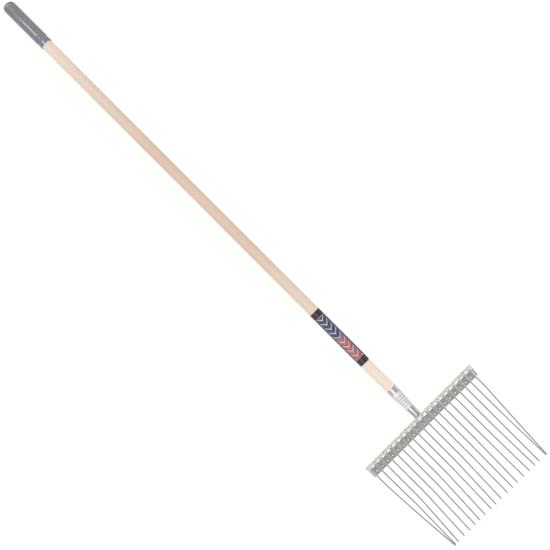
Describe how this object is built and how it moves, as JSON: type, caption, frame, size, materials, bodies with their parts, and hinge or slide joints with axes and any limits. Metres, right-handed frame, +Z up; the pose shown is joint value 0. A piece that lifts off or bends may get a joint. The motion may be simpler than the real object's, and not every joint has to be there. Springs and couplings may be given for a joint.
{
  "type": "manure fork",
  "caption": "Long-handled manure fork: bent wire tines clamped in a ribbed, folded sheet-steel rail, with a tapered socket, a straight wooden shaft and a moulded end grip.",
  "frame": {"origin": "on the floor under the middle of the rail and of the fork's length, with the fork on its back", "axes": "+X along the rail, +Y from the tines towards the grip, +Z up, out of the load side"},
  "size_m": [0.3524, 1.6444, 0.0752],
  "materials": {
    "shaft_wood": "smooth, clear sealed",
    "grip_plastic": "smooth, satin gloss",
    "sleeve_film": "printed film",
    "socket_zinc": "bright zinc plated",
    "sticker_paper": "plain, matt",
    "weld_steel": "zinc plated weld",
    "rail_zinc": "zinc plated sheet",
    "fastener_zinc": "bright zinc plated",
    "tine_steel": "zinc plated spring wire"
  },
  "bodies": {
    "root": {"handle_shaft": "shaft_wood", "end_grip": "grip_plastic", "label_sleeve": "sleeve_film", "socket": "socket_zinc", "socket_sticker": "sticker_paper", "socket_screw": "fastener_zinc", "socket_weld": "weld_steel", "rail": "rail_zinc", "backing_strip": "rail_zinc", "rivets": "fastener_zinc", "tine_01": "tine_steel", "tine_02": "tine_steel", "tine_03": "tine_steel", "tine_04": "tine_steel", "tine_05": "tine_steel", "tine_06": "tine_steel", "tine_07": "tine_steel", "tine_08": "tine_steel", "tine_09": "tine_steel", "tine_10": "tine_steel", "tine_11": "tine_steel", "tine_12": "tine_steel", "tine_13": "tine_steel", "tine_14": "tine_steel", "tine_15": "tine_steel", "tine_16": "tine_steel", "tine_17": "tine_steel", "tine_18": "tine_steel", "tine_19": "tine_steel", "tine_20": "tine_steel"}
  },
  "joints": []
}
